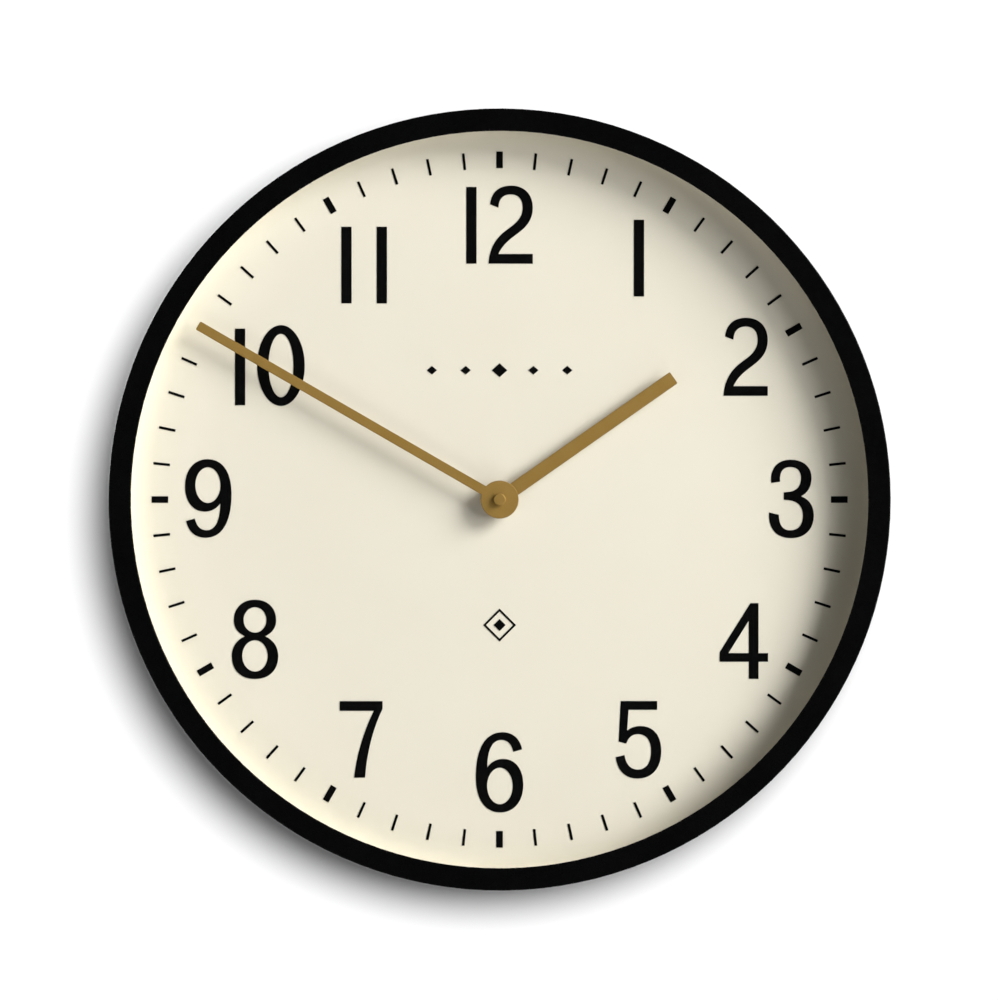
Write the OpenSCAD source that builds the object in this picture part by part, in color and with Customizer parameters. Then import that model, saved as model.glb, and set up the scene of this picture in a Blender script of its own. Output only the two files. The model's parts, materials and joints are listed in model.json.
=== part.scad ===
// Schoolhouse wall clock: a pressed steel case with a flat black bezel, a printed cream dial and a
// battery quartz movement whose whole gear train runs.
// Every module is drawn in the dial's own axes: x right, y up, z towards the viewer, with the wall
// at z = 0 and the hands' axis through the origin. hung() then stands the clock upright.

/* [Case] */
// Outside diameter of the bezel
clock_d = 450; // [448:1:460]
// Depth from the wall to the front of the bezel
clock_depth = 52; // [52:1:54]
// Width of the bezel's flat front face
lip_w = 12.9; // [12:0.1:14]
// Steel thickness of the case
case_t = 1; // [0.8:0.1:1.2]
// Depth of the bezel's skirt over the case wall
skirt_h = 14; // [12:1:17]
// Depth of the flange turned back inside the bezel's lip
lip_return = 4.6; // [4.5:0.1:5]
// Side of the square opening in the back
access_w = 96; // [90:1:110]
// Height of the keyhole's entry above the hands' axis
keyhole_y = 145; // [135:1:155]
// Diameter of the keyhole's entry
keyhole_d = 10; // [9:0.5:12]
// Width of the keyhole's slot
keyslot_w = 4.6; // [4:0.1:5]

/* [Dial] */
// Height of the dial's face above the wall
dial_z = 30; // [30:0.5:31]
// Dial sheet thickness
dial_t = 1.5; // [1:0.1:1.5]
// Thickness of the printed layer
ink_t = 0.2; // [0.1:0.05:0.3]
// Outer radius of the minute track
track_r = 200.5; // [195:0.1:205]
// Length of every mark in the track
mark_len = 9.6; // [8:0.1:11]
// Width of a minute mark
mark_w = 1.5; // [1:0.05:2]
// Width of a five-minute mark
hour_mark_w = 3.8; // [3:0.1:5]

/* [Hands] */
// Length of the minute hand from the axis
minute_len = 200.5; // [180:0.5:205]
// Width of the minute hand
minute_w = 5.5; // [4:0.1:7]
// Length of the hour hand from the axis
hour_len = 122.4; // [110:0.1:130]
// Width of the hour hand
hour_w = 7.9; // [6:0.1:10]
// Diameter of the disc at each hand's root
hub_d = 21.9; // [18:0.1:24]
// Thickness of the hands
hand_t = 0.8; // [0.6:0.1:1]
// Minutes past the hour that the hands show
shown_minute = 50; // [0:1:59]
// Hour that the hands show
shown_hour = 1; // [0:1:11]

/* [Movement] */
// Width and height of the movement
move_w = 56; // [56:1:60]
// Depth of the movement
move_h = 16; // [16:0.5:17]
// Wall thickness of the movement's mouldings
move_t = 1.2; // [1:0.1:1.4]
// Radius of the minute shaft
minute_shaft_r = 1.6; // [1.5:0.05:1.7]
// Radius of the hour tube
hour_tube_r = 2.5; // [2.4:0.05:2.6]
// Radius of the threaded bushing
bushing_r = 3.85; // [3.8:0.05:4]
// Radial clearance of every turning part on its pivot
running = 0.06; // [0.04:0.01:0.08]

/* [Hidden] */
$fn = 96;

// Case, from the outside in
clock_r = clock_d / 2;
lip_r = clock_r - lip_w;
lip_t = 1.5;
skirt_t = 1.2;
edge_r = 0.6;
body_r = clock_r - skirt_t - 0.2;
body_inner_r = body_r - case_t;
body_corner = 4;
access_corner = 10;
hanger_cut_w = 20;
hanger_cut_h = 36;
hanger_cut_corner = 8;
gasket_t = 0.4;
gasket_w = 5;
lens_t = 2;
lens_r = body_inner_r - 3.1;
lens_z = clock_depth - lip_return - gasket_t - lens_t;
body_top_z = clock_depth - lip_t - 1;
bead_r = 100;
bead_w = 9;
bead_h = 2;
dial_r = body_inner_r - 0.8;
dial_back_z = dial_z - dial_t;
liner_r = lip_r + 2.4;
bezel_screw_r = 1.5;
bezel_screw_len = 5;
nut_r = 3.4;
nut_head_t = 2.25;
nut_collar_r = 1.95;
bezel_screw_z = clock_depth - skirt_h + 5;

// Heights on the hands' axis
nut_t = 2;
washer_t = 0.5;
bushing_top_z = dial_z + washer_t + nut_t + 1;
hour_hand_z = dial_z + 5.6;
minute_hand_z = dial_z + 8.6;
cap_r = 3.52;
cap_bore_r = 1.25;
cap_top_z = minute_hand_z + hand_t + 2.8;

// Angles of the hands, clockwise from twelve
minute_angle = shown_minute * 6;
hour_angle = (shown_hour + shown_minute / 60) * 30;

// Movement box
washer_gap = 1;
front_z = dial_back_z - washer_gap;
rear_z = front_z - move_h;
floor_z = rear_z + move_t;
roof_z = front_z - move_t;
move_top_y = 20;
move_bottom_y = move_top_y - move_w;
inner_x = move_w / 2 - move_t;
inner_top_y = move_top_y - move_t;
inner_bottom_y = move_bottom_y + move_t;
bay_top_y = -18.5;
train_bottom_y = bay_top_y + move_t;

// Gear train: the number of teeth and the module of each pair
centre_teeth = 60;
third_pinion_teeth = 8;
third_teeth = 64;
second_pinion_teeth = 8;
second_teeth = 40;
intermediate_pinion_teeth = 8;
intermediate_teeth = 48;
rotor_pinion_teeth = 8;
cannon_teeth = 12;
motion_teeth = 36;
motion_pinion_teeth = 10;
hour_teeth = 40;
setting_teeth = 18;
centre_module = 0.3;
second_module = 0.35;
intermediate_module = 0.25;
cannon_module = 0.5;

// Centre distances, and the modules that two pairs on the same centres need
third_distance = centre_module * (centre_teeth + third_pinion_teeth) / 2;
third_module = 2 * third_distance / (third_teeth + second_pinion_teeth);
intermediate_distance = second_module * (second_teeth + intermediate_pinion_teeth) / 2;
rotor_distance = intermediate_module * (intermediate_teeth + rotor_pinion_teeth) / 2;
motion_distance = cannon_module * (cannon_teeth + motion_teeth) / 2;
hour_module = 2 * motion_distance / (motion_pinion_teeth + hour_teeth);
setting_distance = cannon_module * (motion_teeth + setting_teeth) / 2;

// Directions from one axis to the next, and the axes themselves
to_third = 120;
to_intermediate = -30;
to_rotor = -40;
to_motion = 180;
to_setting = 110;
centre_at = [0, 0];
third_at = along(centre_at, to_third, third_distance);
intermediate_at = along(centre_at, to_intermediate, intermediate_distance);
rotor_at = along(intermediate_at, to_rotor, rotor_distance);
motion_at = along(centre_at, to_motion, motion_distance);
setting_at = along(motion_at, to_setting, setting_distance);

// Heights of the wheels, rear to front, above the cover's inner face
pivot_r = 0.4;
arbor_r = 0.6;
centre_pivot_r = 1.2;
centre_seat_r = 1.9;
pivot_z = floor_z - 0.7;
shoulder_z = floor_z + 0.2;
intermediate_wheel_z = floor_z + 0.9;
second_wheel_z = floor_z + 2.5;
third_wheel_z = floor_z + 4.3;
bridge_z = floor_z + 5.9;
bridge_t = 0.8;
centre_wheel_z = floor_z + 7.3;
cannon_z = floor_z + 8.9;
hour_wheel_z = floor_z + 10.9;
wheel_t = 0.6;
heavy_wheel_t = 1.2;

// Battery, an AA cell lying along x
cell_r = 7.25;
cell_len = 49.5;
cell_nub_r = 2.75;
cell_nub_h = 1;
cell_y = (bay_top_y + inner_bottom_y) / 2;
cell_z = roof_z - cell_r - 0.15;
contact_t = 0.4;
cell_right_x = inner_x - contact_t - 0.35;
cell_left_x = cell_right_x - cell_nub_h - cell_len;

// Motor: the coil lies along y beside the train
coil_x = 22.1;
coil_low_y = -9;
coil_high_y = 13;
bobbin_r = 2.4;
bobbin_flange_r = 4.3;
bobbin_flange_t = 1;
winding_r = 3.9;
core_low_y = -13.5;
core_high_y = 17.5;
stator_z = floor_z + 3.3;
stator_t = 1.2;
stator_hole_r = 0.75;
magnet_r = 3;
core_w = 3;
core_t = 1.5;
coil_z = stator_z + stator_t + core_t / 2;
board_z = floor_z + 1.3;
board_t = 0.8;

// A point at a distance from another, in a direction counted from x
function along(from, direction, distance) =
    [from[0] + distance * cos(direction), from[1] + distance * sin(direction)];

// Phase of a wheel that lets it mesh with a neighbour whose teeth and phase are known
function meshed(neighbour_phase, towards, neighbour_teeth, teeth) =
    towards + 180 + 180 / teeth - (neighbour_phase - towards) * neighbour_teeth / teeth;

centre_phase = to_third;
third_pinion_phase = meshed(centre_phase, to_third, centre_teeth, third_pinion_teeth);
third_phase = to_third + 180;
second_pinion_phase = meshed(third_phase, to_third + 180, third_teeth, second_pinion_teeth);
second_phase = to_intermediate;
intermediate_pinion_phase =
    meshed(second_phase, to_intermediate, second_teeth, intermediate_pinion_teeth);
intermediate_phase = to_rotor;
rotor_pinion_phase = meshed(intermediate_phase, to_rotor, intermediate_teeth, rotor_pinion_teeth);
cannon_phase = to_motion;
motion_phase = meshed(cannon_phase, to_motion, cannon_teeth, motion_teeth);
motion_pinion_phase = to_motion + 180;
hour_phase = meshed(motion_pinion_phase, to_motion + 180, motion_pinion_teeth, hour_teeth);
setting_phase = meshed(motion_phase, to_setting, motion_teeth, setting_teeth);

// Points on a Bezier curve after its first point
curve_steps = 9;
function curve_point(a, b, c, d, t) =
    a * pow(1 - t, 3) + b * 3 * t * pow(1 - t, 2) + c * 3 * t * t * (1 - t) + d * pow(t, 3);
function curve(a, b, c, d) = [for (i = [1:curve_steps]) curve_point(a, b, c, d, i / curve_steps)];

// An outline: each step is [end] for a straight line or [handle, handle, end] for a curve
function outline(start, steps) = concat([start], [
    for (i = [0:len(steps) - 1])
        let (from = i == 0 ? start : steps[i - 1][len(steps[i - 1]) - 1])
        each (len(steps[i]) == 1 ? steps[i] : curve(from, steps[i][0], steps[i][1], steps[i][2]))
]);

// Points around an ellipse
function oval(centre, a, b, n = 40) =
    [for (i = [0:n - 1]) centre + [a * cos(360 * i / n), b * sin(360 * i / n)]];

// Points of a gear, six to a tooth, with the play that moulded clock wheels have
tooth_fill = 0.8;
addendum = 0.85;
dedendum = 1.25;
function polar(r, angle) = [r * cos(angle), r * sin(angle)];
function gear_points(teeth, size, phase) =
    let (
        pitch_r = size * teeth / 2,
        tip_r = pitch_r + addendum * size,
        root_r = pitch_r - dedendum * size,
        half = 90 / teeth * tooth_fill,
        half_tip = half * 0.45,
        half_root = half * 1.2
    )
    [for (i = [0:teeth - 1]) let (at = phase + 360 / teeth * i) each [
        polar(root_r, at - half_root),
        polar(pitch_r, at - half),
        polar(tip_r, at - half_tip),
        polar(tip_r, at + half_tip),
        polar(pitch_r, at + half),
        polar(root_r, at + half_root)
    ]];

// Stands the dial's axes upright: z towards the viewer becomes -Y, and y becomes +Z
module hung() {
    rotate([90, 0, 0]) children();
}

module up(z) {
    translate([0, 0, z]) children();
}

module at(place) {
    translate([place[0], place[1], 0]) children();
}

// A rod, a tube and a gear between two heights
module rod(r, low, high) {
    up(low) cylinder(r = r, h = high - low);
}

module tube(outer, inner, low, high) {
    difference() {
        rod(outer, low, high);
        rod(inner, low - 1, high + 1);
    }
}

module gear(teeth, size, phase, low, high) {
    up(low) linear_extrude(high - low) polygon(gear_points(teeth, size, phase));
}

// A rectangle with round corners, centred
module round_rect(w, h, r) {
    square([w - 2 * r, h], center = true);
    square([w, h - 2 * r], center = true);
    for (x = [-1, 1], y = [-1, 1])
        translate([x * (w / 2 - r), y * (h / 2 - r)]) circle(r);
}

// A plain screw whose head is at the rear
module screw(head_r, head_h, shank_r, head_z, tip_z) {
    difference() {
        union() {
            rod(head_r, head_z, head_z + head_h);
            rod(shank_r, head_z + head_h, tip_z);
        }
        for (turn = [0, 90])
            rotate([0, 0, turn])
                translate([-head_r * 0.6, -0.2, head_z - 1])
                    cube([head_r * 1.2, 0.4, 1 + head_h * 0.6]);
    }
}

// ---- Case ----

// The pressed bowl: a flat back with a stiffening bead, a round corner and the side wall
module case_body() {
    bead_in = bead_r - bead_w;
    bead_out = bead_r + bead_w;
    corner_out = body_r - body_corner;
    color([0.07, 0.07, 0.07]) hung() difference() {
        rotate_extrude($fn = 180) polygon(concat(
            [[0, 0], [bead_in - bead_h, 0], [bead_in, bead_h], [bead_out, bead_h]],
            [[bead_out + bead_h, 0]],
            [for (a = [-90:15:0])
                [corner_out + body_corner * cos(a), body_corner + body_corner * sin(a)]],
            [[body_r, body_top_z], [body_inner_r, body_top_z]],
            [for (a = [0:-15:-90])
                [corner_out + (body_corner - case_t) * cos(a),
                 body_corner + (body_corner - case_t) * sin(a)]],
            [[bead_out + bead_h, case_t], [bead_out, bead_h + case_t]],
            [[bead_in, bead_h + case_t], [bead_in - bead_h, case_t], [0, case_t]]
        ));
        up(-1) linear_extrude(case_t + 2) {
            round_rect(access_w, access_w, access_corner);
            translate([0, hanger_y]) round_rect(hanger_cut_w, hanger_cut_h, hanger_cut_corner);
            for (place = hanger_rivets_at)
                translate(place) circle(rivet_hole_r);
        }
        for (turn = [45:90:315])
            rotate([0, 0, turn]) up(bezel_screw_z) rotate([0, 90, 0])
                rod(nut_collar_r + 0.05, body_inner_r - 1, body_r + 1);
    }
}

// The front ring: a flat lip, a flange turned back inside it that presses on the lens, and a
// skirt that slips over the case wall
module bezel() {
    color([0.04, 0.04, 0.04]) hung() difference() {
        rotate_extrude($fn = 180) polygon(concat(
            [[lip_r, clock_depth - lip_return]],
            [for (a = [180:-30:90])
                [lip_r + edge_r + edge_r * cos(a), clock_depth - edge_r + edge_r * sin(a)]],
            [for (a = [90:-30:0])
                [clock_r - edge_r + edge_r * cos(a), clock_depth - edge_r + edge_r * sin(a)]],
            [[clock_r, clock_depth - skirt_h], [clock_r - skirt_t, clock_depth - skirt_h]],
            [[clock_r - skirt_t, clock_depth - lip_t], [lip_r + lip_t, clock_depth - lip_t]],
            [[lip_r + lip_t, clock_depth - lip_return]]
        ));
        for (turn = [45:90:315])
            rotate([0, 0, turn]) up(bezel_screw_z)
                rotate([0, 90, 0]) rod(bezel_screw_r + 0.1, clock_r - skirt_t - 1, clock_r + 1);
    }
}

// Nuts pressed into the case wall for the bezel's screws
module clinch_nuts() {
    head_r = body_inner_r - 0.15;
    color("silver") hung() for (turn = [45:90:315])
        rotate([0, 0, turn]) up(bezel_screw_z) rotate([0, 90, 0]) {
            tube(nut_r, bezel_screw_r, head_r - nut_head_t, head_r);
            tube(nut_collar_r, bezel_screw_r, head_r, body_r - 0.1);
        }
}

// Grub screws with a hexagon socket, flush with the skirt
module bezel_screws() {
    tip_r = clock_r - 0.2;
    socket_r = 0.87;
    socket_depth = 1.6;
    color("dimgray") hung() for (turn = [45:90:315])
        rotate([0, 0, turn]) up(bezel_screw_z) rotate([0, 90, 0]) difference() {
            rod(bezel_screw_r, tip_r - bezel_screw_len, tip_r);
            up(tip_r - socket_depth) cylinder(r = socket_r, h = socket_depth + 1, $fn = 6);
        }
}

module lens() {
    color([0.85, 0.93, 0.93, 0.2]) hung() rod(lens_r, lens_z, lens_z + lens_t, $fn = 180);
}

module lens_gasket() {
    color([0.1, 0.1, 0.1]) hung()
        tube(lip_r + gasket_w, lip_r + 0.3, lens_z + lens_t, lens_z + lens_t + gasket_t, $fn = 180);
}

// The pale liner between the dial and the lens; its outward flange carries the lens
module reflector_ring() {
    liner_t = 1.5;
    color([0.93, 0.9, 0.82]) hung() rotate_extrude($fn = 180) polygon([
        [liner_r, dial_z], [dial_r - 1, dial_z], [dial_r - 1, dial_z + liner_t],
        [liner_r + liner_t, dial_z + liner_t], [liner_r + liner_t, lens_z - liner_t],
        [lens_r - 0.5, lens_z - liner_t], [lens_r - 0.5, lens_z], [liner_r, lens_z]
    ]);
}

// ---- Dial ----

module dial() {
    color([0.94, 0.91, 0.84]) hung() tube(dial_r, bushing_r + 0.15, dial_back_z, dial_z, $fn = 180);
}

// The ring that holds the dial off the case back
module dial_support_ring() {
    wall_t = 2;
    flange_t = 1.5;
    foot_in_r = dial_r - 14.8;
    top_in_r = foot_in_r + 2;
    wall_in_r = foot_in_r + 7;
    wall_out_r = wall_in_r + wall_t;
    top_out_r = wall_out_r + 3;
    low_z = case_t + flange_t;
    top_z = dial_back_z - flange_t;
    color([0.2, 0.2, 0.2]) hung() rotate_extrude($fn = 180) polygon([
        [foot_in_r, case_t], [wall_out_r, case_t], [wall_out_r, top_z], [top_out_r, top_z],
        [top_out_r, dial_back_z], [top_in_r, dial_back_z], [top_in_r, top_z],
        [wall_in_r, top_z], [wall_in_r, low_z], [foot_in_r, low_z]
    ]);
}

// Numerals: outlines start at the lower left of each figure, with the base line at y = 0
stem_w = 5.9;
figure_h = 44.2;

module figure_0() {
    difference() {
        polygon(oval([13.7, 22.9], 13.7, 23.3, 56));
        polygon(oval([13.7, 22.9], 7.2, 18.3, 48));
    }
}

module figure_1() {
    square([stem_w, figure_h]);
}

module figure_2() {
    polygon(outline([0, 0], [
        [[25.5, 0]], [[25.5, 5.6]], [[5.7, 5.6]],
        [[8.3, 11.2], [12.6, 14.3], [16.4, 17.1]],
        [[21.2, 20.7], [25.5, 24.6], [25.5, 32.2]],
        [[25.5, 40], [20.6, 45], [13.1, 45]],
        [[5.6, 45], [1.6, 41], [0.9, 34.2]],
        [[5.7, 32.3]],
        [[5.9, 37.3], [8.3, 39.9], [12.9, 39.9]],
        [[17.3, 39.9], [19.7, 36.9], [19.7, 32.2]],
        [[19.7, 26.4], [15.4, 23], [11.7, 20.4]],
        [[6.6, 16.8], [0.6, 11.5], [0, 0]]
    ]));
}

module figure_3() {
    polygon(outline([1.3, 31.6], [
        [[0.5, 39.8], [4.8, 45.1], [12.4, 45.1]],
        [[19.8, 45.1], [24.6, 41], [24.6, 34.7]],
        [[24.6, 29.6], [22.4, 25.9], [18.6, 24]],
        [[23.2, 22.3], [25.9, 18.5], [25.9, 12.9]],
        [[25.9, 5], [20.9, -0.2], [12.8, -0.2]],
        [[4, -0.2], [-0.6, 5.6], [0.1, 14.7]],
        [[5.8, 13.3]],
        [[5.6, 7.4], [8.2, 4.4], [12.3, 4.4]],
        [[17, 4.4], [19.6, 7.6], [19.6, 12.8]],
        [[19.6, 18.8], [16.2, 21.9], [8.6, 21.9]],
        [[8.6, 26.3]],
        [[15.3, 26.3], [18.5, 29.1], [18.5, 34.5]],
        [[18.5, 38.5], [16.3, 40.8], [12.3, 40.8]],
        [[8.1, 40.8], [6, 38], [6.5, 32.4]]
    ]));
}

module figure_4() {
    difference() {
        polygon([[0, 9.9], [16.8, 9.9], [16.8, 0], [22.4, 0], [22.4, 9.9], [27.9, 9.9],
                 [27.9, 14.9], [22.4, 14.9], [22.4, 43.7], [17.7, 43.7], [0, 15.4]]);
        polygon([[5.1, 14.9], [16.8, 14.9], [16.8, 33.6]]);
    }
}

module figure_5() {
    polygon(outline([2.9, 44.7], [
        [[1.7, 21.3]], [[6.1, 20.1]],
        [[7.3, 23.8], [9.7, 25.6], [13, 25.6]],
        [[17.6, 25.6], [20.4, 22], [20.4, 15.9]],
        [[20.4, 9.2], [17.6, 5.2], [12.7, 5.2]],
        [[8.5, 5.2], [5.9, 8.2], [5.1, 13.6]],
        [[0, 12.3]],
        [[1, 4.5], [5.3, 0], [12.7, 0]],
        [[21, 0], [26.3, 6], [26.3, 16]],
        [[26.3, 25], [21.5, 30.3], [14.4, 30.3]],
        [[11.5, 30.3], [9, 29.6], [6.6, 27.7]],
        [[7.4, 39.6]], [[23.9, 39.6]], [[23.9, 44.7]]
    ]));
}

module figure_6() {
    difference() {
        polygon(outline([26.7, 36.4], [
            [[25.5, 42.5], [21.5, 46.3], [15.2, 46.3]],
            [[5.5, 46.3], [0, 37], [0, 20.5]],
            [[0, 7], [5.6, 0], [14.1, 0]],
            [[22, 0], [27.4, 6.3], [27.4, 16]],
            [[27.4, 25.2], [22.6, 30.9], [15.9, 30.9]],
            [[12, 30.9], [8.8, 29.2], [6.6, 26]],
            [[6.6, 35.5], [9.3, 41.8], [14.6, 41.8]],
            [[18.3, 41.8], [20.6, 39.5], [21.6, 34.9]]
        ]));
        polygon(oval([13.9, 15.3], 7.4, 10.5));
    }
}

module figure_7() {
    polygon(outline([0, 44.1], [
        [[0, 38.5]], [[19.6, 38.5]],
        [[14, 27], [9.6, 13], [8.3, 0]],
        [[14.6, 0]],
        [[15.6, 14], [19, 28], [24.7, 39.6]],
        [[24.7, 44.1]]
    ]));
}

module figure_8() {
    difference() {
        polygon(outline([13.5, 45.8], [
            [[6, 45.8], [1.3, 41], [1.3, 33.9]],
            [[1.3, 29.6], [3.6, 26.5], [7.6, 24.7]],
            [[2.7, 22.4], [0.1, 18.5], [0.1, 13.2]],
            [[0.1, 5.2], [5.2, 0], [13.5, 0]],
            [[21.8, 0], [26.9, 5.2], [26.9, 13.2]],
            [[26.9, 18.5], [24.3, 22.4], [19.4, 24.7]],
            [[23.4, 26.5], [25.7, 29.6], [25.7, 33.9]],
            [[25.7, 41], [21, 45.8], [13.5, 45.8]]
        ]));
        polygon(oval([13.5, 34.1], 6.6, 7.3));
        polygon(oval([13.5, 13.4], 7.35, 9));
    }
}

// A nine is a six turned over
module figure_9() {
    translate([26.8, 45.4]) rotate(180) scale(0.98) figure_6();
}

module figure(digit) {
    if (digit == 0) figure_0();
    if (digit == 1) figure_1();
    if (digit == 2) figure_2();
    if (digit == 3) figure_3();
    if (digit == 4) figure_4();
    if (digit == 5) figure_5();
    if (digit == 6) figure_6();
    if (digit == 7) figure_7();
    if (digit == 8) figure_8();
    if (digit == 9) figure_9();
}

// Width of each figure from 0 to 9, and the space after a leading one
figure_w = [27.4, stem_w, 25.5, 25.9, 27.9, 26.3, 27.4, 24.7, 27, 26.8];
digit_gap = 6.9;
ones_gap = 14.5;
// How far from the axis each numeral stands, from twelve round to eleven, so that their outer
// corners keep the same distance from the track
numeral_r = [158, 160.6, 163.7, 168.1, 162.5, 160.1, 158.2, 159.5, 162.7, 167.8, 152.8, 156];

module numeral(hour) {
    tens = floor(hour / 10);
    units = hour % 10;
    gap = units == 1 ? ones_gap : digit_gap;
    width = tens == 0 ? figure_w[units] : stem_w + gap + figure_w[units];
    translate([-width / 2, -figure_h / 2]) {
        if (tens == 1) figure_1();
        translate([width - figure_w[units], 0]) figure(units);
    }
}

module dial_numerals() {
    color([0.03, 0.03, 0.03]) hung() up(dial_z) linear_extrude(ink_t)
        for (i = [0:11])
            translate(numeral_r[i] * [sin(30 * i), cos(30 * i)]) numeral(i == 0 ? 12 : i);
}

module track_mark(w) {
    translate([-w / 2, track_r - mark_len]) square([w, mark_len]);
}

module hour_marks() {
    color([0.03, 0.03, 0.03]) hung() up(dial_z) linear_extrude(ink_t)
        for (i = [0:11]) rotate(-30 * i) track_mark(hour_mark_w);
}

module minute_marks() {
    color([0.03, 0.03, 0.03]) hung() up(dial_z) linear_extrude(ink_t)
        for (i = [0:59]) if (i % 5 != 0) rotate(-6 * i) track_mark(mark_w);
}

// Plain lozenges in place of lettering
module lozenge(w, h) {
    polygon([[-w / 2, 0], [0, -h / 2], [w / 2, 0], [0, h / 2]]);
}

module dial_ornament() {
    row_y = 74.5;
    row_pitch = 19.5;
    frame_y = -72.3;
    frame_w = 19;
    frame_line = 3.4;
    color([0.03, 0.03, 0.03]) hung() up(dial_z) linear_extrude(ink_t) {
        for (i = [-2, -1, 1, 2]) translate([row_pitch * i, row_y]) lozenge(6, 5);
        translate([0, row_y]) lozenge(9, 8);
        translate([0, frame_y]) {
            difference() {
                lozenge(frame_w, frame_w);
                lozenge(frame_w - frame_line, frame_w - frame_line);
            }
            lozenge(7, 7);
        }
    }
}

// ---- Hanger ----
hanger_w = 40;
hanger_h = 52;
hanger_t = 1.5;
hanger_corner = 4;
keyslot_len = 14;
hanger_y = keyhole_y + keyslot_len / 2;
rivet_r = 1.55;
rivet_hole_r = 1.6;
rivet_head_r = 3;
rivet_head_t = 1.2;
hanger_rivets_at = [for (x = [-15, 15], y = [-19, 19]) [x, hanger_y + y]];

module hanger_plate() {
    color("gray") hung() difference() {
        up(case_t) linear_extrude(hanger_t)
            translate([0, hanger_y]) round_rect(hanger_w, hanger_h, hanger_corner);
        linear_extrude(case_t + hanger_t + 1) {
            translate([0, keyhole_y]) circle(keyhole_d / 2);
            translate([-keyslot_w / 2, keyhole_y]) square([keyslot_w, keyslot_len]);
            translate([0, keyhole_y + keyslot_len]) circle(keyslot_w / 2);
            for (place = hanger_rivets_at)
                translate(place) circle(rivet_hole_r);
        }
    }
}

module hanger_rivets() {
    head_z = case_t + hanger_t;
    color("silver") hung() for (place = hanger_rivets_at)
        at(place) {
            rod(rivet_r, 0.1, head_z + 0.1);
            rod(rivet_head_r, head_z, head_z + rivet_head_t);
        }
}

// ---- Fixing of the movement to the dial ----

module sealing_washer() {
    washer_r = 9;
    color([0.12, 0.12, 0.12]) hung() tube(washer_r, bushing_r + 0.2, front_z, dial_back_z);
}

module brass_washer() {
    washer_r = 7;
    color([0.75, 0.6, 0.3]) hung() tube(washer_r, bushing_r + 0.15, dial_z, dial_z + washer_t);
}

module hex_nut() {
    across_flats = 11;
    color([0.75, 0.6, 0.3]) hung() difference() {
        up(dial_z + washer_t) cylinder(r = across_flats / sqrt(3), h = nut_t, $fn = 6);
        rod(bushing_r, 0, clock_depth);
    }
}

// The bushing: a flange inside the housing and a grooved thread outside it
module centre_bushing() {
    flange_r = 5;
    flange_t = 0.9;
    pitch = 0.8;
    crest = 0.5;
    groove = 0.35;
    bore_r = hour_tube_r + running;
    color([0.75, 0.6, 0.3]) hung() {
        tube(flange_r, bore_r, roof_z - flange_t, roof_z);
        tube(bushing_r, bore_r, roof_z, dial_back_z);
        for (z = [dial_back_z:pitch:bushing_top_z - pitch]) {
            tube(bushing_r, bore_r, z, z + crest);
            tube(bushing_r - groove, bore_r, z + crest, z + pitch);
        }
    }
}

// ---- Movement housing ----
boss_r = 1.8;
boss_bore_r = 0.7;
stud_r = 0.8;
stem_r = 1.5;
stem_tip_r = 0.8;
knob_gap = 0.6;
cover_gap = 0.08;
screw_hole_r = 0.95;
screw_shank_r = 0.65;
screw_head_t = 0.7;
bridge_posts = [[-14, -14.2], [8, 14], [13, -2.2]];
board_posts = [[-22, -14], [4, -14]];
stator_posts = [[coil_x, -11.6], [coil_x, 15.6]];
cover_posts = [[-24.6, 16.6], [-24.6, -8], [12.4, 17]];

module housing_outline() {
    translate([0, (move_top_y + move_bottom_y) / 2]) round_rect(move_w, move_w, 2);
}

module room(x0, x1, y0, y1) {
    translate([x0, y0]) square([x1 - x0, y1 - y0]);
}

module movement_housing() {
    thumb_r = 7;
    board_post_r = 1.3;
    tab_slot = [1.6, 4, 2.2];
    color([0.13, 0.13, 0.14]) hung() {
        difference() {
            up(rear_z) linear_extrude(move_h) housing_outline();
            up(rear_z - 1) linear_extrude(roof_z - rear_z + 1) {
                room(-inner_x, inner_x, train_bottom_y, inner_top_y);
                room(-inner_x, inner_x, inner_bottom_y, bay_top_y);
            }
            rod(bushing_r, roof_z - 1, front_z + 1);
            at(motion_at) rod(stud_r, roof_z - 1, roof_z + 0.6);
            translate([0, move_bottom_y, rear_z]) rotate([90, 0, 0])
                rod(thumb_r, -2 * move_t, 2 * move_t);
            for (side = [0, 1])
                mirror([side, 0, 0]) translate([inner_x - tab_slot[0], bay_top_y - 1, board_z - 0.6])
                    cube(tab_slot + [0.02, 0, 0]);
        }
        for (post = bridge_posts)
            at(post) tube(boss_r, boss_bore_r, bridge_z + bridge_t, roof_z);
        for (post = board_posts)
            at(post) rod(board_post_r, board_z + board_t, roof_z);
        for (post = stator_posts)
            at(post) tube(boss_r, boss_bore_r, coil_z + core_t / 2, roof_z);
        for (post = cover_posts)
            at(post) tube(boss_r, boss_bore_r, floor_z, roof_z);
        at(setting_at) tube(stem_r + 0.5, stem_tip_r + running, cannon_z + heavy_wheel_t + 0.4, roof_z);
    }
}

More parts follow.
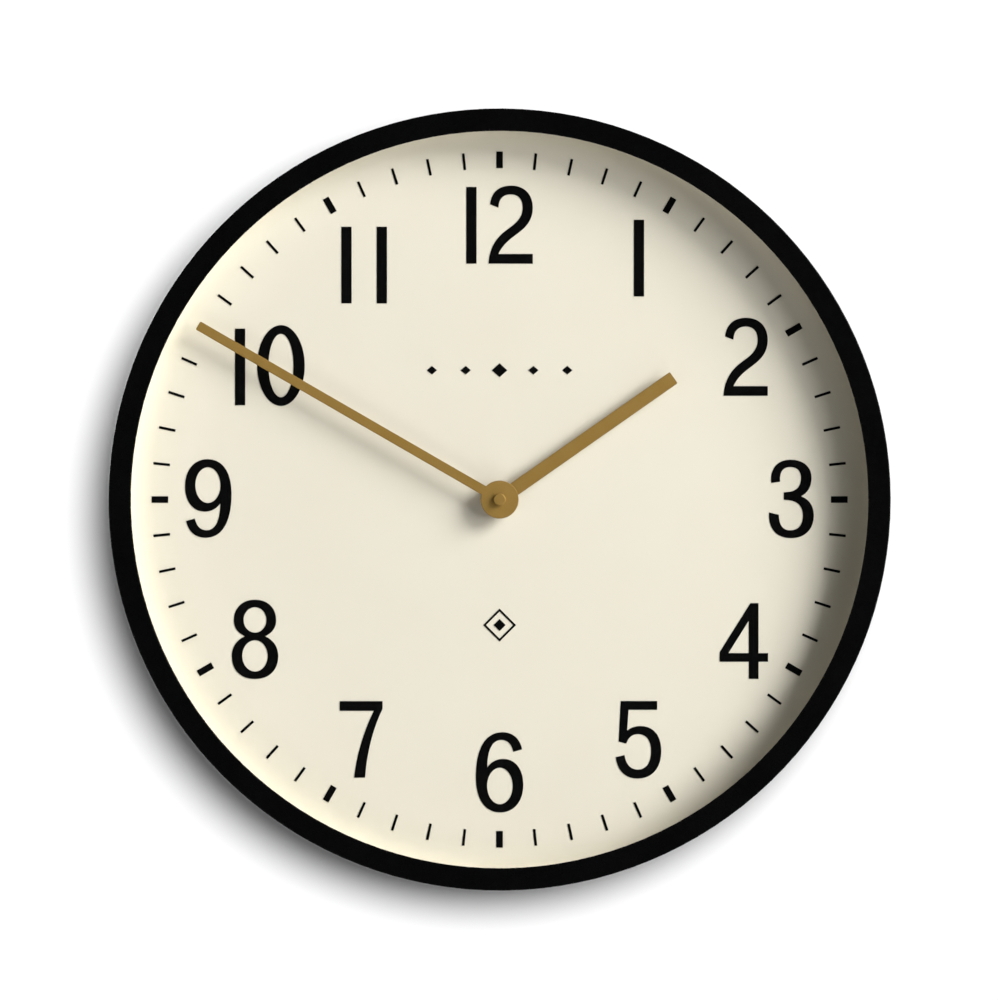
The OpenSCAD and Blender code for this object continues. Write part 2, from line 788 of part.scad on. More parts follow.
// The rear cover of the train's chamber, with a blind bearing for each arbor
module movement_cover() {
    rib_at = 6.2;
    rib_len = 1.4;
    rib_w = 0.6;
    rib_h = 0.3;
    color([0.16, 0.16, 0.17]) hung() difference() {
        union() {
            up(rear_z) linear_extrude(move_t)
                room(cover_gap - inner_x, inner_x - cover_gap,
                    train_bottom_y + cover_gap, inner_top_y - cover_gap);
            for (turn = [210:60:390])
                at(setting_at) rotate([0, 0, turn])
                    translate([rib_at, -rib_w / 2, rear_z - rib_h]) cube([rib_len, rib_w, rib_h + 0.1]);
        }
        for (place = [centre_at, third_at, intermediate_at, rotor_at])
            at(place) rod(pivot_r + running, floor_z - 0.8, floor_z + 1);
        at(setting_at) rod(stem_r + running, rear_z - 1, floor_z + 1);
        for (post = cover_posts)
            at(post) rod(screw_hole_r, rear_z - 1, floor_z + 1);
    }
}

module cover_screws() {
    color("silver") hung() for (post = cover_posts)
        at(post) screw(1.7, screw_head_t, screw_shank_r, rear_z - screw_head_t, floor_z + 4);
}

// The plate between the train and the motion work
module train_bridge() {
    color([0.85, 0.85, 0.8]) hung() difference() {
        union() {
            up(bridge_z) linear_extrude(bridge_t) polygon([
                [-16.5, -16.6], [-10.5, -16.6], [3, -11.4], [16.4, -12.4], [16.4, 0], [9.8, 16],
                [5, 16], [-8.5, 13.2], [-16, 3]
            ]);
            at(centre_at) rod(2 * stem_tip_r + 0.8, bridge_z, bridge_z + bridge_t + 0.4);
            at(motion_at) rod(2 * stud_r + 0.1, bridge_z, cannon_z - 0.2);
        }
        for (place = [centre_at, intermediate_at, rotor_at])
            at(place) rod(pivot_r + running, 0, clock_depth);
        at(centre_at) rod(centre_pivot_r + running, bridge_z + 0.5, clock_depth);
        at(third_at) rod(arbor_r + running, 0, clock_depth);
        at(motion_at) rod(stud_r, 0, clock_depth);
        for (post = bridge_posts)
            at(post) rod(screw_hole_r, 0, clock_depth);
    }
}

module bridge_screws() {
    color("silver") hung() for (post = bridge_posts)
        at(post)
            screw(1.5, screw_head_t, screw_shank_r, bridge_z - screw_head_t, bridge_z + bridge_t + 3);
}

// ---- Electronics ----

module circuit_board() {
    color([0.1, 0.35, 0.2]) hung() up(board_z) linear_extrude(board_t) {
        room(-25.8, 8, -16.8, -11.2);
        room(8, 26.2, -16.8, -14);
    }
}

module control_chip() {
    color([0.08, 0.08, 0.08]) hung() translate([-12, -14, 0]) {
        rod(2.2, board_z - 0.5, board_z);
        rod(1.7, board_z - 0.8, board_z - 0.5);
    }
}

module quartz_crystal() {
    can_r = 1;
    color("silver") hung() translate([-5, -13, board_z + board_t + can_r]) {
        rotate([0, 90, 0]) cylinder(r = can_r, h = 6);
        for (y = [-0.4, 0.4])
            translate([-1.6, y, 0]) rotate([0, 90, 0]) cylinder(r = 0.15, h = 1.6);
    }
}

module coil_bobbin() {
    color([0.8, 0.75, 0.6]) hung() translate([coil_x, coil_low_y, coil_z]) rotate([-90, 0, 0])
        difference() {
            union() {
                cylinder(r = bobbin_r, h = coil_high_y - coil_low_y);
                for (z = [0, coil_high_y - coil_low_y - bobbin_flange_t])
                    up(z) cylinder(r = bobbin_flange_r, h = bobbin_flange_t);
            }
            translate([-core_w / 2, -core_t / 2, -1])
                cube([core_w, core_t, coil_high_y - coil_low_y + 2]);
        }
}

module coil_winding() {
    color([0.72, 0.35, 0.15]) hung() translate([coil_x, coil_low_y, coil_z]) rotate([-90, 0, 0])
        tube(winding_r, bobbin_r, bobbin_flange_t, coil_high_y - coil_low_y - bobbin_flange_t);
}

module coil_core() {
    color("silver") hung() difference() {
        translate([coil_x - core_w / 2, core_low_y, coil_z - core_t / 2])
            cube([core_w, core_high_y - core_low_y, core_t]);
        for (post = stator_posts)
            at(post) rod(stator_hole_r, 0, clock_depth);
    }
}

// The laminated stator: one plate that carries the coil's field to both sides of the rotor
module stator_plate() {
    stator_ring_r = 5;
    foot_w = 3.8;
    limb_x = 14.4;
    limb_w = 2;
    color("silver") hung() difference() {
        up(stator_z) linear_extrude(stator_t) {
            translate(rotor_at) circle(stator_ring_r);
            room(rotor_at[0], coil_x + core_w / 2, core_low_y, core_low_y + foot_w);
            room(limb_x, limb_x + limb_w, rotor_at[1], core_high_y);
            room(limb_x, coil_x + core_w / 2, core_high_y - foot_w, core_high_y);
        }
        at(rotor_at) rod(magnet_r + 0.4, 0, clock_depth);
        for (post = stator_posts)
            at(post) rod(stator_hole_r, 0, clock_depth);
    }
}

module stator_screws() {
    color("silver") hung() for (post = stator_posts)
        at(post) screw(1.5, screw_head_t, screw_shank_r, stator_z - screw_head_t,
            coil_z + core_t / 2 + 3);
}

// Two enamelled wires from the coil's flange to the board
module coil_leads() {
    wire_r = 0.15;
    start_y = coil_low_y - wire_r;
    board_top_z = board_z + board_t;
    color([0.72, 0.35, 0.15]) hung() for (x = [18.2, 19]) {
        translate([x, start_y, 0]) rod(wire_r, board_top_z, coil_z);
        translate([x, start_y, board_top_z + wire_r]) rotate([90, 0, 0])
            cylinder(r = wire_r, h = 6);
    }
}

// ---- Battery and its contacts ----

module positive_contact() {
    plate_x = inner_x - contact_t;
    color([0.85, 0.85, 0.85]) hung() {
        translate([plate_x, cell_y - 5, cell_z - 5]) cube([contact_t, 10, 10]);
        translate([plate_x, cell_y, board_z - contact_t - 0.1])
            cube([contact_t, -16.4 - cell_y, 2]);
        translate([plate_x - 2.4, -17, board_z - contact_t]) cube([2.4 + contact_t, 1.2, contact_t]);
    }
}

// A plate with a conical spring; the spring's turns are drawn as rings
module negative_contact() {
    wire_r = 0.3;
    color([0.85, 0.85, 0.85]) hung() {
        translate([-inner_x, cell_y - 5, cell_z - 5]) cube([contact_t, 10, 10]);
        translate([-inner_x, cell_y, board_z - contact_t - 0.1])
            cube([contact_t, -16.4 - cell_y, 2]);
        translate([-inner_x, -17, board_z - contact_t]) cube([2.4, 1.2, contact_t]);
        translate([-inner_x + contact_t, cell_y, cell_z]) rotate([0, 90, 0])
            for (turn = [0:2])
                up(wire_r * (1 + 1.5 * turn)) rotate_extrude()
                    translate([4.4 - turn * 0.8, 0]) circle(wire_r, $fn = 24);
    }
}

module battery() {
    color([0.2, 0.22, 0.24]) hung() translate([cell_left_x, cell_y, cell_z])
        rotate([0, 90, 0]) {
            cylinder(r = cell_r, h = cell_len);
            cylinder(r = cell_nub_r, h = cell_len + cell_nub_h);
        }
}

// ---- Gear train, from the rotor to the hands ----

module rotor_magnet() {
    color([0.25, 0.25, 0.27]) hung() at(rotor_at)
        tube(magnet_r, arbor_r, stator_z - 0.8, stator_z + 2);
}

module rotor_pinion() {
    color([0.9, 0.88, 0.82]) hung() at(rotor_at) {
        rod(pivot_r, pivot_z, shoulder_z);
        rod(arbor_r, shoulder_z, bridge_z - 0.3);
        rod(pivot_r, bridge_z - 0.3, bridge_z + 0.5);
        gear(rotor_pinion_teeth, intermediate_module, rotor_pinion_phase,
            intermediate_wheel_z - 0.3, intermediate_wheel_z + wheel_t + 0.3);
    }
}

module intermediate_wheel() {
    color([0.93, 0.9, 0.8]) hung() at(intermediate_at) {
        rod(pivot_r, pivot_z, shoulder_z);
        rod(arbor_r, shoulder_z, bridge_z - 0.3);
        rod(pivot_r, bridge_z - 0.3, bridge_z + 0.5);
        gear(intermediate_teeth, intermediate_module, intermediate_phase,
            intermediate_wheel_z, intermediate_wheel_z + wheel_t);
        gear(intermediate_pinion_teeth, second_module, intermediate_pinion_phase,
            second_wheel_z - 0.4, second_wheel_z + wheel_t + 0.4);
    }
}

module second_wheel() {
    color([0.93, 0.9, 0.8]) hung() at(centre_at) {
        rod(pivot_r, pivot_z, shoulder_z);
        rod(arbor_r, shoulder_z, bridge_z - 0.2);
        rod(pivot_r, bridge_z - 0.2, bridge_z + 0.4);
        gear(second_teeth, second_module, second_phase, second_wheel_z, second_wheel_z + wheel_t);
        gear(second_pinion_teeth, third_module, second_pinion_phase,
            third_wheel_z - 0.4, third_wheel_z + wheel_t + 0.4);
    }
}

module third_wheel() {
    color([0.93, 0.9, 0.8]) hung() at(third_at) {
        rod(pivot_r, pivot_z, shoulder_z);
        rod(arbor_r, shoulder_z, centre_wheel_z + heavy_wheel_t);
        rod(1.4, bridge_z - 0.7, bridge_z - 0.2);
        gear(third_teeth, third_module, third_phase, third_wheel_z, third_wheel_z + wheel_t);
        gear(third_pinion_teeth, centre_module, third_pinion_phase,
            centre_wheel_z - 0.2, centre_wheel_z + heavy_wheel_t);
    }
}

module centre_wheel() {
    color([0.93, 0.9, 0.8]) hung() difference() {
        gear(centre_teeth, centre_module, centre_phase, centre_wheel_z, centre_wheel_z + 0.8);
        rod(centre_seat_r, 0, clock_depth);
    }
}

// Cannon pinion, shaft and the stud for the cap nut, in one turned piece
module minute_arbor() {
    color([0.75, 0.6, 0.3]) hung() {
        rod(centre_pivot_r, bridge_z + 0.6, centre_wheel_z);
        rod(centre_seat_r, centre_wheel_z, cannon_z);
        gear(cannon_teeth, cannon_module, cannon_phase, cannon_z, cannon_z + heavy_wheel_t);
        rod(minute_shaft_r, cannon_z + heavy_wheel_t, minute_hand_z + hand_t);
        rod(cap_bore_r, minute_hand_z + hand_t, cap_top_z - 0.8);
    }
}

module motion_stud() {
    color("silver") hung() at(motion_at) rod(stud_r, bridge_z, roof_z + 0.5);
}

module motion_wheel() {
    color([0.93, 0.9, 0.8]) hung() at(motion_at) difference() {
        union() {
            gear(motion_teeth, cannon_module, motion_phase, cannon_z, cannon_z + heavy_wheel_t);
            gear(motion_pinion_teeth, hour_module, motion_pinion_phase,
                cannon_z + heavy_wheel_t, hour_wheel_z + heavy_wheel_t + 0.3);
        }
        rod(stud_r + running, 0, clock_depth);
    }
}

module hour_wheel() {
    color([0.93, 0.9, 0.8]) hung() difference() {
        union() {
            gear(hour_teeth, hour_module, hour_phase, hour_wheel_z, hour_wheel_z + heavy_wheel_t);
            rod(hour_tube_r, hour_wheel_z - 0.4, hour_hand_z + hand_t + 0.5);
        }
        rod(minute_shaft_r + running, 0, clock_depth);
    }
}

module setting_arbor() {
    color([0.9, 0.9, 0.9]) hung() at(setting_at) {
        rod(stem_r, rear_z - knob_gap, cannon_z);
        gear(setting_teeth, cannon_module, setting_phase, cannon_z, cannon_z + heavy_wheel_t);
        rod(stem_tip_r, cannon_z + heavy_wheel_t, roof_z - 0.5);
    }
}

// The knurled knob at the back that sets the hands
module setting_knob() {
    knob_r = 5;
    knob_t = 2.3;
    grips = 24;
    grip_r = 0.35;
    back_z = rear_z - knob_gap - knob_t;
    color([0.9, 0.9, 0.9]) hung() at(setting_at) difference() {
        rod(knob_r, back_z, rear_z - knob_gap);
        for (i = [0:grips - 1])
            rotate([0, 0, i * 360 / grips]) translate([knob_r + 0.1, 0])
                rod(grip_r, back_z - 1, rear_z);
        tube(3.6, 1.6, back_z - 1, back_z + 0.6);
    }
}

// ---- Hands ----
collet_w = 1.65;
collet_h = 1.2;

// A flat hand pointing up: a chamfered bar, square at its end, on a chamfered disc
module hand_blank(length, width, bore_r) {
    chamfer = 0.2;
    corner = 0.8;
    difference() {
        union() {
            intersection() {
                rotate([-90, 0, 0]) linear_extrude(length) polygon([
                    [-width / 2, 0], [width / 2, 0], [width / 2, chamfer - hand_t],
                    [width / 2 - chamfer, -hand_t], [chamfer - width / 2, -hand_t],
                    [-width / 2, chamfer - hand_t]
                ]);
                linear_extrude(hand_t) {
                    translate([-width / 2, 0]) square([width, length - corner]);
                    translate([corner - width / 2, 0]) square([width - 2 * corner, length]);
                    for (x = [-1, 1])
                        translate([x * (width / 2 - corner), length - corner]) circle(corner);
                }
            }
            rotate_extrude() polygon([
                [0, 0], [hub_d / 2, 0], [hub_d / 2, hand_t - chamfer],
                [hub_d / 2 - chamfer, hand_t], [0, hand_t]
            ]);
        }
        rod(bore_r, -1, hand_t + 1);
    }
}

module hour_hand() {
    color([0.6, 0.48, 0.23]) hung() up(hour_hand_z) rotate([0, 0, -hour_angle])
        hand_blank(hour_len, hour_w, hour_tube_r);
}

module hour_collet() {
    color([0.75, 0.6, 0.3]) hung()
        tube(hour_tube_r + collet_w, hour_tube_r, hour_hand_z - collet_h, hour_hand_z);
}

module minute_hand() {
    color([0.6, 0.48, 0.23]) hung() up(minute_hand_z) rotate([0, 0, -minute_angle])
        hand_blank(minute_len, minute_w, minute_shaft_r);
}

module minute_collet() {
    color([0.75, 0.6, 0.3]) hung()
        tube(minute_shaft_r + collet_w, minute_shaft_r, minute_hand_z - collet_h, minute_hand_z);
}

// The round cap nut that closes the axis
module cap_nut() {
    bevel = 0.45;
    base_z = minute_hand_z + hand_t;
    color([0.6, 0.48, 0.23]) hung() difference() {
        rotate_extrude() polygon([
            [0, base_z], [cap_r, base_z], [cap_r, cap_top_z - bevel],
            [cap_r - bevel, cap_top_z], [0, cap_top_z]
        ]);
        rod(cap_bore_r, base_z - 1, cap_top_z - 0.7);
    }
}

case_body();
bezel();
clinch_nuts();
bezel_screws();
lens();
lens_gasket();
reflector_ring();
dial();
dial_numerals();
hour_marks();
minute_marks();
dial_ornament();
dial_support_ring();
hanger_plate();
hanger_rivets();
sealing_washer();
brass_washer();
hex_nut();
centre_bushing();
movement_housing();
movement_cover();
cover_screws();
train_bridge();
bridge_screws();
circuit_board();
control_chip();
quartz_crystal();
coil_bobbin();
coil_winding();
coil_core();
stator_plate();
stator_screws();
coil_leads();
positive_contact();
negative_contact();
battery();
rotor_magnet();
rotor_pinion();
intermediate_wheel();
second_wheel();
third_wheel();
centre_wheel();
minute_arbor();
motion_stud();
motion_wheel();
hour_wheel();
setting_arbor();
setting_knob();
hour_hand();
hour_collet();
minute_hand();
minute_collet();
cap_nut();
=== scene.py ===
import json
import math

import bmesh
import bpy
from mathutils import Matrix, Vector


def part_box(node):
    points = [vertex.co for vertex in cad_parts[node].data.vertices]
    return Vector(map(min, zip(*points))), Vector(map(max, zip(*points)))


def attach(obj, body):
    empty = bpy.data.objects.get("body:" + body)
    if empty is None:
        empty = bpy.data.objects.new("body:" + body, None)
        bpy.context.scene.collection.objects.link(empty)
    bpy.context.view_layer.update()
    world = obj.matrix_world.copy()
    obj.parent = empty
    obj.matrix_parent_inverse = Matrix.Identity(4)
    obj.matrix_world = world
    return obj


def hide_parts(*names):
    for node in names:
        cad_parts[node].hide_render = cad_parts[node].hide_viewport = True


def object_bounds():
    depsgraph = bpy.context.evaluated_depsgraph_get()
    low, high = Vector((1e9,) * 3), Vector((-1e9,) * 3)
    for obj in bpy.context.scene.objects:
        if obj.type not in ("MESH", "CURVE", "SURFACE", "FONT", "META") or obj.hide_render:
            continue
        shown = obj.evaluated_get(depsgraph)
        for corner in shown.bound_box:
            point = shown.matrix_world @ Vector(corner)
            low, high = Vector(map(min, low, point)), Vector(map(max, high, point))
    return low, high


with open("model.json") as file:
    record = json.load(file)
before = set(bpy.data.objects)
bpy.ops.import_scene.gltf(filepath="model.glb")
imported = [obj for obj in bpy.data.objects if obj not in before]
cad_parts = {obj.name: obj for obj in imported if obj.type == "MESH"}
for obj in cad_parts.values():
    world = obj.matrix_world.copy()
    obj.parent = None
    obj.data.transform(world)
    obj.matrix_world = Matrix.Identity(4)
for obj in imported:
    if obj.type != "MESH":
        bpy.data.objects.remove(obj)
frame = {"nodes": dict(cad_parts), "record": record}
cad_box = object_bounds()
NODES = frame["nodes"]
MM = 0.001

# ---------------------------------------------------------------- node helpers

BEVEL_SAMPLES = 4
WAVE_LENGTH = math.tau / 20  # of Blender's wave texture at a scale of 1


class Graph:
    """A node tree that is put together from small node groups."""

    def __init__(self, tree):
        self.tree = tree
        tree.nodes.clear()

    def join(self, source, target):
        self.tree.links.new(source, target)

    def put(self, node, **settings):
        made = self.tree.nodes.new(node)
        for name, value in settings.items():
            setattr(made, name, value)
        return made

    def span(self, source, low, high, start=0.3, end=0.7):
        """Maps start..end of the source to low..high and holds it there outside."""
        made = self.put("ShaderNodeMapRange")
        limits = {"From Min": start, "From Max": end, "To Min": low, "To Max": high}
        for name, value in limits.items():
            made.inputs[name].default_value = value
        self.join(source, made.inputs["Value"])
        return made.outputs[0]

    def math(self, operation, a, b, **settings):
        made = self.put("ShaderNodeMath", operation=operation, **settings)
        for socket, value in zip(made.inputs, (a, b)):
            if isinstance(value, (int, float)):
                socket.default_value = value
            else:
                self.join(value, socket)
        return made.outputs[0]


class Finish(Graph):
    """A procedural material round one Principled shader."""

    def __init__(self, name):
        self.name = name
        self.material = bpy.data.materials.new(name)
        self.material.use_nodes = True
        super().__init__(self.material.node_tree)
        self.output = self.put("ShaderNodeOutputMaterial")
        self.shader = self.put("ShaderNodeBsdfPrincipled")
        self.show(self.shader.outputs[0])
        self.place = self.put("ShaderNodeTexCoord").outputs["Object"]

    def show(self, shader):
        self.join(shader, self.output.inputs["Surface"])

    def stretched(self, scale):
        """The place in the object with its axes scaled: under 1 draws a texture out."""
        mapping = self.put("ShaderNodeMapping")
        mapping.inputs["Scale"].default_value = scale
        self.join(self.place, mapping.inputs["Vector"])
        return mapping.outputs[0]

    def noise(self, scale, detail=2.0, roughness=0.5, place=None):
        made = self.put("ShaderNodeTexNoise")
        made.inputs["Scale"].default_value = scale
        made.inputs["Detail"].default_value = detail
        made.inputs["Roughness"].default_value = roughness
        self.join(place or self.place, made.inputs["Vector"])
        return made.outputs[0]

    def wave(self, period, axis, rings=False, wobble=0.0):
        """Stripes across an axis or rings round it, one per period in metres."""
        made = self.put("ShaderNodeTexWave", wave_type="RINGS" if rings else "BANDS")
        if rings:
            made.rings_direction = axis
        else:
            made.bands_direction = axis
        made.inputs["Scale"].default_value = WAVE_LENGTH / period
        made.inputs["Distortion"].default_value = wobble
        self.join(self.place, made.inputs["Vector"])
        return made.outputs["Fac"]

    def blend(self, factor, low, high):
        """Mixes two colours, each a tuple or a socket."""
        made = self.put("ShaderNodeMix", data_type="RGBA")
        self.join(factor, made.inputs[0])
        for socket, colour in ((made.inputs[6], low), (made.inputs[7], high)):
            if isinstance(colour, tuple):
                socket.default_value = (*colour, 1)
            else:
                self.join(colour, socket)
        return made.outputs[2]

    def mix(self, factor, first, second):
        """Mixes two shaders."""
        made = self.put("ShaderNodeMixShader")
        for socket, source in zip(made.inputs, (factor, first, second)):
            self.join(source, socket)
        return made.outputs[0]

    def clear(self):
        return self.put("ShaderNodeBsdfTransparent").outputs[0]

    def rounded(self, radius):
        """Normals that round the edges off."""
        bevel = self.put("ShaderNodeBevel", samples=BEVEL_SAMPLES)
        bevel.inputs["Radius"].default_value = radius
        return bevel.outputs[0]

    def edges(self, radius, edge_cosine=0.93, face_cosine=0.999):
        """1 along the outer and inner edges of the shape, 0 on its faces."""
        turn = self.put("ShaderNodeVectorMath", operation="DOT_PRODUCT")
        self.join(self.rounded(radius), turn.inputs[0])
        self.join(self.put("ShaderNodeNewGeometry").outputs["Normal"], turn.inputs[1])
        return self.span(turn.outputs["Value"], 1, 0, edge_cosine, face_cosine)

    def relief(self, height, depth, under=None):
        """Normals of a bumpy surface, on top of the normals under it."""
        made = self.put("ShaderNodeBump")
        made.inputs["Strength"].default_value = 1.0
        made.inputs["Distance"].default_value = depth
        self.join(height, made.inputs["Height"])
        if under is not None:
            self.join(under, made.inputs["Normal"])
        return made.outputs[0]

    def set(self, **values):
        for name, value in values.items():
            socket = self.shader.inputs[name.replace("_", " ")]
            if isinstance(value, bpy.types.NodeSocket):
                self.join(value, socket)
            else:
                socket.default_value = value


EDGE_WIDTH = 0.5 * MM
GLOSS_GRAIN = 0.22  # the noise scale of the gloss drift, as a share of the grain's


def tone(
    name, dark, light, rough, patch=60.0, grain=900.0, depth=0.02, edge_wear_and_highlight=None, bevel=0.0, **constant
):
    """A surface between two tones: slow colour drift, finer gloss drift and a fine felt grain.

    patch and grain are noise scales; depth and bevel are in mm; the colour for the lighter edges is
    partly rubbed wear, partly a painted highlight.
    """
    f = Finish(name)
    drift = f.span(f.noise(patch, 4, 0.6), 0, 1)
    fine = f.noise(grain, 3, 0.6)
    colour = f.blend(drift, dark, light)
    # Lighter edges: partly rubbed wear, partly a painted highlight along the edges.
    if edge_wear_and_highlight:
        colour = f.blend(f.edges(EDGE_WIDTH), colour, edge_wear_and_highlight)
    under = f.rounded(bevel * MM) if bevel else None
    f.set(
        Base_Color=colour,
        Roughness=f.span(f.noise(grain * GLOSS_GRAIN, 3), *rough),
        Normal=f.relief(fine, depth * MM, under),
        **constant,
    )
    return f


# ------------------------------------------------------------------- materials


def lens_glass():
    """Glass that light passes straight, from the lamps and between the pieces behind it."""
    f = Finish("lens_glass")
    f.set(
        Base_Color=f.blend(f.noise(9, 2), (0.988, 0.996, 0.992), (0.978, 0.992, 0.986)),
        Roughness=0.0,
        IOR=1.45,
        Transmission_Weight=1.0,
        Specular_IOR_Level=0.15,
    )
    clear, path, seen = f.clear(), f.put("ShaderNodeLightPath"), f.shader.outputs[0]
    for ray in ("Is Diffuse Ray", "Is Shadow Ray"):
        seen = f.mix(path.outputs[ray], seen, clear)
    f.show(seen)
    return f


def turned(name, dark, light, rough, axis="Y", period=0.12):
    """Turned metal with fine lathe marks round its axis, period mm apart."""
    f = Finish(name)
    marks = f.wave(period * MM, axis, rings=True, wobble=1.5)
    gloss = f.math("ADD", f.math("MULTIPLY", marks, 0.3), f.noise(500))
    f.set(
        Base_Color=f.blend(f.span(f.noise(220, 4), 0, 1), dark, light),
        Metallic=1.0,
        Roughness=f.span(gloss, *rough, 0.4, 0.9),
        Normal=f.relief(marks, 0.004 * MM, f.rounded(0.15 * MM)),
    )
    return f


def zinc_plate():
    """Zinc plate: cloudy, with a faint rolling direction."""
    f = Finish("zinc_steel")
    cloud = f.noise(140, 5, 0.65)
    rolled = f.noise(260, 3, 0.6, f.stretched((1, 1, 14)))
    colour = f.blend(f.span(cloud, 0, 1), (0.44, 0.46, 0.49), (0.62, 0.62, 0.61))
    f.set(
        Base_Color=f.blend(f.edges(0.3 * MM), colour, (0.72, 0.72, 0.72)),
        Metallic=1.0,
        Roughness=f.span(f.math("ADD", cloud, rolled), 0.30, 0.50, 0.7, 1.3),
        Normal=f.relief(rolled, 0.006 * MM, f.rounded(0.12 * MM)),
    )
    return f


def hand_brass():
    """Satin lacquer in brass colour over sheet metal: faint brushing, and painted shade darkening
    the cut edges.
    """
    f = Finish("hand_brass")
    brushed = f.noise(900, 4, 0.65, f.stretched((1, 1, 0.25)))
    colour = f.blend(f.span(f.noise(90, 4), 0, 1), (0.290, 0.172, 0.037), (0.312, 0.189, 0.045))
    # Painted shade: the cut edges are darkened in colour, standing for the shade on their bevels.
    colour = f.blend(f.math("MULTIPLY", f.edges(0.35 * MM), 0.5), colour, (0.17, 0.10, 0.019))
    f.set(
        Base_Color=colour,
        Metallic=0.35,
        Specular_IOR_Level=0.3,
        Roughness=f.span(brushed, 0.42, 0.55),
        Normal=f.relief(brushed, 0.008 * MM, f.rounded(0.12 * MM)),
    )
    return f


def copper_wire():
    """Enamelled wire, wound turn by turn, with painted shade darkening the grooves between the
    turns.
    """
    f = Finish("copper_wire")
    # Painted shade: the turns' stripes also darken the colour into the grooves between the turns.
    turns = f.wave(0.16 * MM, "Z", wobble=0.3)
    f.set(
        Base_Color=f.blend(f.span(turns, 0, 1, 0.1, 0.6), (0.20, 0.055, 0.018), (0.66, 0.25, 0.09)),
        Metallic=1.0,
        Coat_Weight=0.6,
        Roughness=f.span(f.noise(800), 0.22, 0.38),
        Normal=f.relief(turns, 0.05 * MM),
    )
    return f


def soft_iron():
    """Stacked sheets of bare iron."""
    f = Finish("soft_iron")
    sheets = f.wave(0.35 * MM, "Y", wobble=0.2)
    f.set(
        Base_Color=f.blend(f.span(f.noise(400, 4), 0, 1), (0.36, 0.37, 0.39), (0.50, 0.50, 0.50)),
        Metallic=1.0,
        Roughness=f.span(f.noise(700, 3), 0.30, 0.46),
        Normal=f.relief(sheets, 0.02 * MM, f.rounded(0.1 * MM)),
    )
    return f


def board_green():
    """Solder mask over copper tracks."""
    f = Finish("board_green")
    tracks = f.put("ShaderNodeTexBrick", offset=0.5)
    layout = {
        "Scale": 1.0, "Mortar Size": 0.35 * MM, "Brick Width": 7 * MM, "Row Height": 1.3 * MM,
    }
    for name, value in layout.items():
        tracks.inputs[name].default_value = value
    upright = f.put("ShaderNodeMapping")
    upright.inputs["Rotation"].default_value = (math.radians(90), 0, 0)
    f.join(f.place, upright.inputs["Vector"])
    f.join(upright.outputs[0], tracks.inputs["Vector"])
    track = tracks.outputs["Fac"]
    mask = f.blend(f.span(f.noise(500), 0, 1), (0.010, 0.075, 0.028), (0.014, 0.095, 0.036))
    f.set(
        Base_Color=f.blend(track, mask, (0.035, 0.19, 0.065)),
        Roughness=f.span(f.noise(900), 0.28, 0.4),
        Coat_Weight=0.4,
        Normal=f.relief(track, 0.03 * MM),
    )
    return f


CELL_BANDS = (34 * MM, 35.2 * MM, 36.4 * MM)  # where the tone changes, from the minus end
CELL_BARE = (0.6 * MM, 1.6 * MM)  # bare metal at the minus end and at the plus end
CELL_SEAM = 0.05 * MM


def cell_label():
    """A plain foil sleeve in two tones along the cell, with bare metal at each end."""
    f = Finish("cell_label")
    low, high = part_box("battery")
    apart = f.put("ShaderNodeSeparateXYZ")
    f.join(f.place, apart.inputs[0])
    along = apart.outputs["X"]

    def step(at, before=0, after=1):
        return f.span(along, before, after, at - CELL_SEAM, at + CELL_SEAM)

    body = f.blend(f.span(f.noise(120, 3), 0, 1), (0.020, 0.045, 0.075), (0.026, 0.055, 0.090))
    band = f.blend(f.span(f.noise(160, 3), 0, 1), (0.50, 0.52, 0.52), (0.58, 0.60, 0.60))
    colour = body
    for start, tint in zip(CELL_BANDS, (band, body, band)):
        colour = f.blend(step(low.x + start), colour, tint)
    bare = f.math("ADD", step(low.x + CELL_BARE[0], 1, 0), step(high.x - CELL_BARE[1]))
    f.set(
        Base_Color=f.blend(bare, colour, (0.62, 0.61, 0.59)),
        Metallic=f.math("MAXIMUM", bare, 0.25),
        Roughness=f.span(f.noise(700, 3), 0.24, 0.36),
        Normal=f.relief(f.noise(350, 3), 0.002 * MM),
    )
    return f


